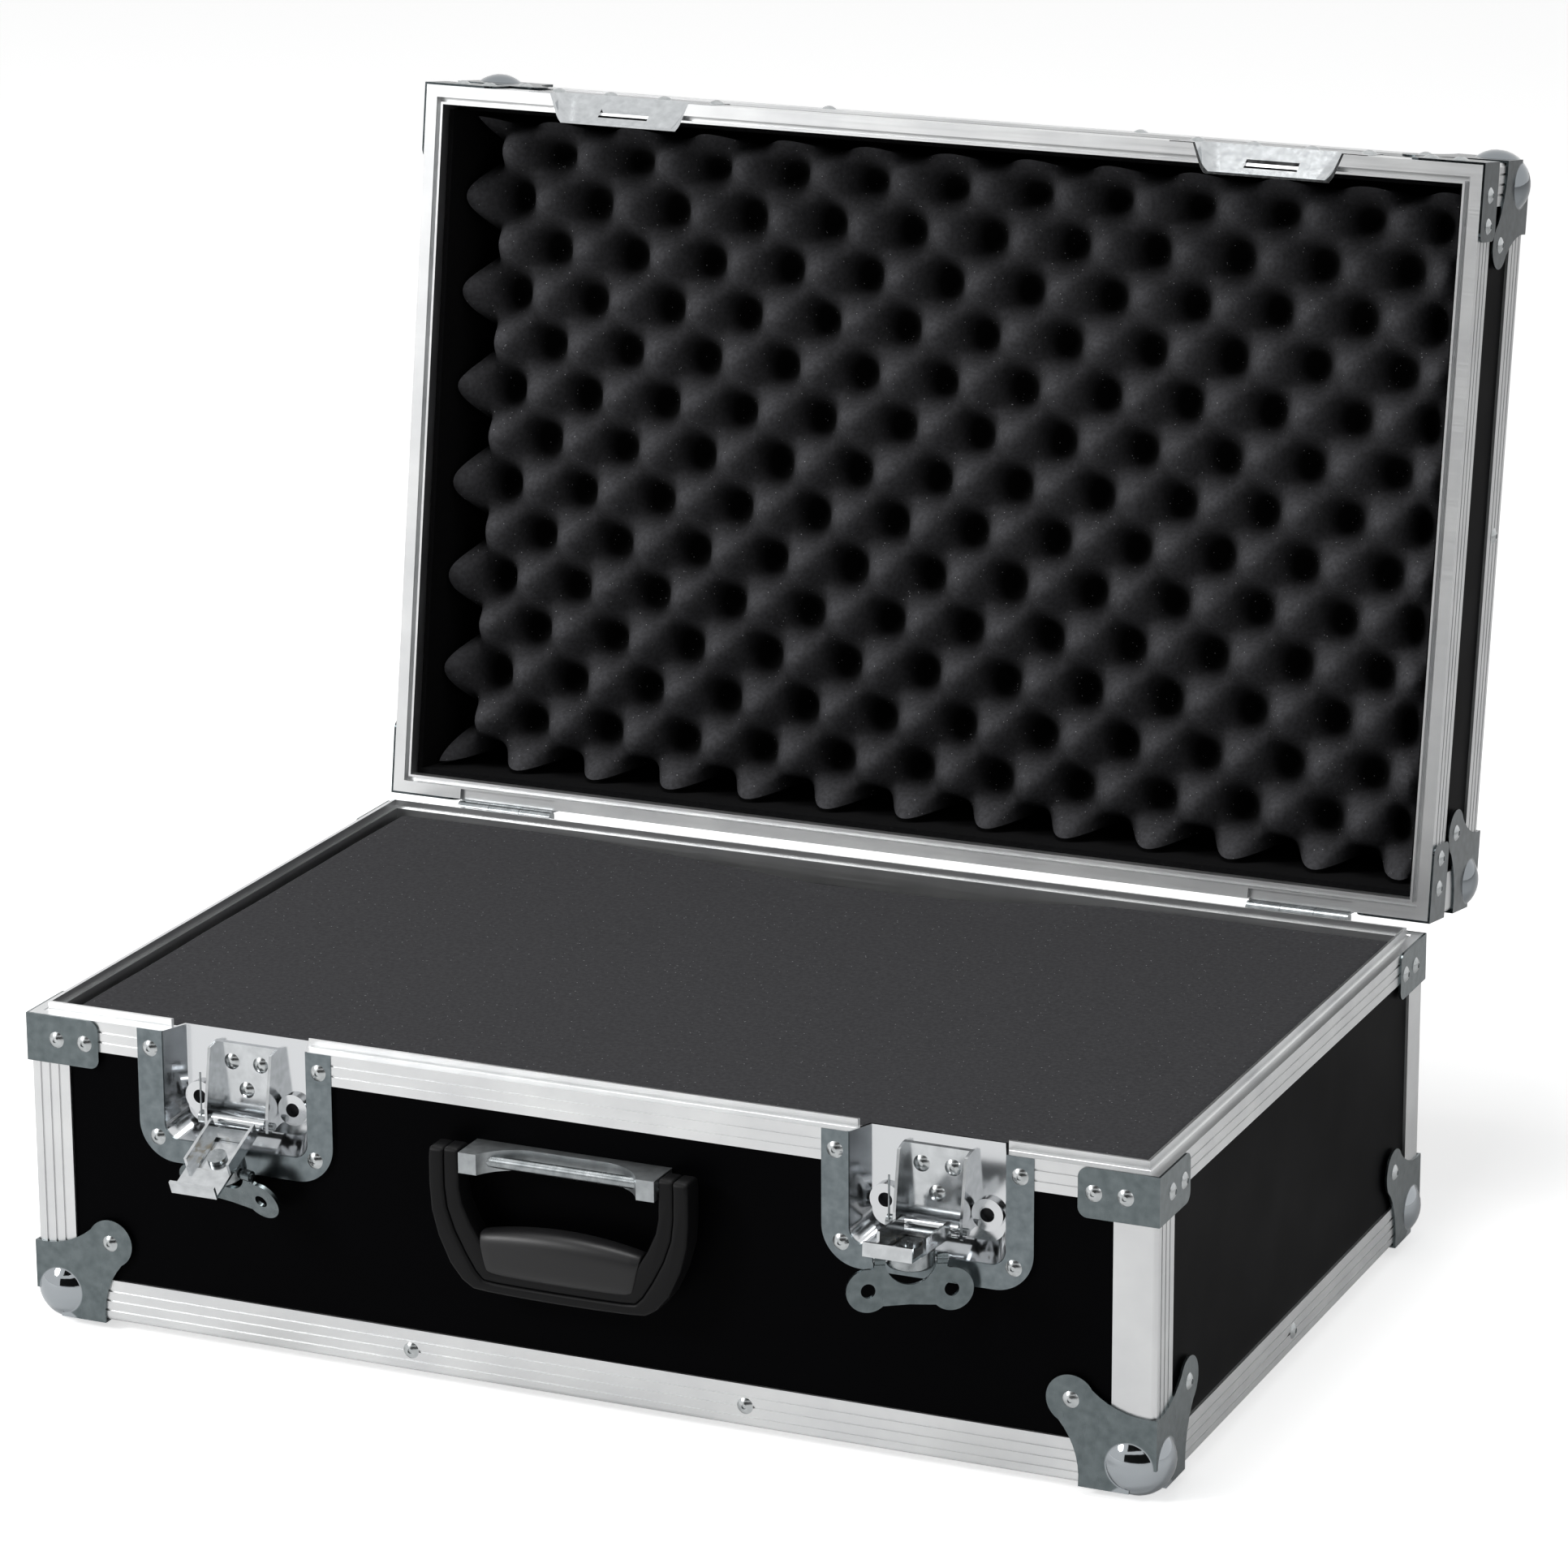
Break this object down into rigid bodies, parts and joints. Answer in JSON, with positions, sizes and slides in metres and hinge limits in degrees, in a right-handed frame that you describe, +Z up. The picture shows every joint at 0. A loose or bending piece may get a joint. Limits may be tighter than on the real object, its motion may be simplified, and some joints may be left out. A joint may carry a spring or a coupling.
{
  "type": "equipment case",
  "caption": "Foam-lined hard equipment case, opened: black laminate panels in aluminium edging, ball corners, recessed butterfly latches, swing-down handle and hinged lid.",
  "frame": {"origin": "centre of the underside of the base's bottom panel, which is 7 mm above the ground that the four ball corners rest on", "axes": "+X along the front from left to right as seen from the front, +Y from the front to the rear hinges, +Z up"},
  "size_m": [0.611, 0.5844, 0.5558],
  "materials": {
    "laminate": "black laminate on plywood, fine sheen",
    "edging_aluminium": "anodised, fine grooves",
    "rim_aluminium": "anodised",
    "plated_steel": "zinc plated",
    "rivet_metal": "plain dome heads",
    "latch_plate": "nickel plated pressings",
    "turned_steel": "plated",
    "spring_steel": "drawn wire",
    "hinge_steel": "zinc plated",
    "bracket_plate": "nickel plated casting",
    "handle_plastic": "moulded, fine grain",
    "grip_plastic": "moulded, soft grain",
    "base_foam": "open-cell dark grey foam",
    "lid_foam": "open-cell dark grey convoluted foam",
    "lining": "black foam strip"
  },
  "bodies": {
    "base": {"base_front_panel": "laminate", "base_rear_panel": "laminate", "base_left_panel": "laminate", "base_right_panel": "laminate", "base_bottom_panel": "laminate", "base_bottom_edging": "edging_aluminium", "base_upright_edging": "edging_aluminium", "base_rim": "rim_aluminium", "base_ball_corners": "plated_steel", "base_rim_braces": "plated_steel", "base_rivets": "rivet_metal", "base_foam": "base_foam", "latch_rivets": "rivet_metal", "latch_dish_left": "latch_plate", "latch_dish_right": "latch_plate", "latch_bracket_left": "latch_plate", "latch_bracket_right": "latch_plate", "latch_pin_left": "turned_steel", "latch_pin_right": "turned_steel", "latch_spring_left": "spring_steel", "latch_spring_right": "spring_steel", "handle_bracket": "bracket_plate", "handle_screws": "turned_steel", "handle_rod": "turned_steel", "hinge_base_leaves": "hinge_steel", "hinge_pins": "turned_steel"},
    "lid": {"lid_front_panel": "laminate", "lid_rear_panel": "laminate", "lid_left_panel": "laminate", "lid_right_panel": "laminate", "lid_top_panel": "laminate", "lid_top_edging": "edging_aluminium", "lid_upright_edging": "edging_aluminium", "lid_rim": "rim_aluminium", "lid_ball_corners": "plated_steel", "lid_rim_braces": "plated_steel", "lid_rivets": "rivet_metal", "lid_foam": "lid_foam", "lid_lining": "lining", "keeper_left": "latch_plate", "keeper_right": "latch_plate", "keeper_rivets": "rivet_metal", "hinge_lid_leaves": "hinge_steel"},
    "handle": {"handle_frame": "handle_plastic", "handle_grip": "grip_plastic"},
    "latch_link_left_body": {"latch_link_left": "latch_plate"},
    "latch_claw_left_body": {"latch_claw_left": "latch_plate"},
    "latch_rotor_left_body": {"latch_rotor_left": "turned_steel", "latch_wing_pin_left": "turned_steel"},
    "latch_wing_left_body": {"latch_wing_left": "latch_plate"},
    "latch_link_right_body": {"latch_link_right": "latch_plate"},
    "latch_claw_right_body": {"latch_claw_right": "latch_plate"},
    "latch_rotor_right_body": {"latch_rotor_right": "turned_steel", "latch_wing_pin_right": "turned_steel"},
    "latch_wing_right_body": {"latch_wing_right": "latch_plate"}
  },
  "joints": [
    {"name": "lid_hinge", "type": "hinge", "parent": "base", "child": "lid", "pos_m": [0, 0.1993, 0.158], "axis": [1, 0, 0], "range_deg": [0, 98.8]},
    {"name": "handle_swing", "type": "hinge", "parent": "base", "child": "handle", "pos_m": [0, -0.2065, 0.12], "axis": [-1, 0, 0], "range_deg": [0, 90]},
    {"name": "latch_swing_left", "type": "hinge", "parent": "base", "child": "latch_link_left_body", "pos_m": [-0.1845, -0.1905, 0.114], "axis": [-1, 0, 0], "range_deg": [0, 113.5]},
    {"name": "wing_turn_left", "type": "hinge", "parent": "latch_link_left_body", "child": "latch_rotor_left_body", "pos_m": [-0.1845, -0.21251, 0.10443], "axis": [0, 0.3987, -0.9171], "range_deg": [-22, 1.5]},
    {"name": "claw_draw_left", "type": "slide", "parent": "latch_link_left_body", "child": "latch_claw_left_body", "axis": [0, 0.9171, 0.3987], "range_m": [-0.0004889, 0.0000333]},
    {"name": "wing_fold_left", "type": "hinge", "parent": "latch_rotor_left_body", "child": "latch_wing_left_body", "pos_m": [-0.1845, -0.20892, 0.09618], "axis": [-0.9848, 0.1592, 0.0692], "range_deg": [0, 90]},
    {"name": "latch_swing_right", "type": "hinge", "parent": "base", "child": "latch_link_right_body", "pos_m": [0.1845, -0.1905, 0.114], "axis": [-1, 0, 0], "range_deg": [0, 86]},
    {"name": "wing_turn_right", "type": "hinge", "parent": "latch_link_right_body", "child": "latch_rotor_right_body", "pos_m": [0.1845, -0.21444, 0.11567], "axis": [0, -0.0698, -0.9976], "range_deg": [-2, 68]},
    {"name": "claw_draw_right", "type": "slide", "parent": "latch_link_right_body", "child": "latch_claw_right_body", "axis": [0, 0.9976, -0.0698], "range_m": [-0.00004, 0.00151]},
    {"name": "wing_fold_right", "type": "hinge", "parent": "latch_rotor_right_body", "child": "latch_wing_right_body", "pos_m": [0.1845, -0.21507, 0.1067], "axis": [-0.829, -0.5578, 0.039], "range_deg": [0, 90]}
  ],
  "couplings": [
    {"joint": "wing_turn_left", "follows": "claw_draw_left", "rad_per_m": 785.4},
    {"joint": "wing_turn_right", "follows": "claw_draw_right", "rad_per_m": 785.4}
  ]
}
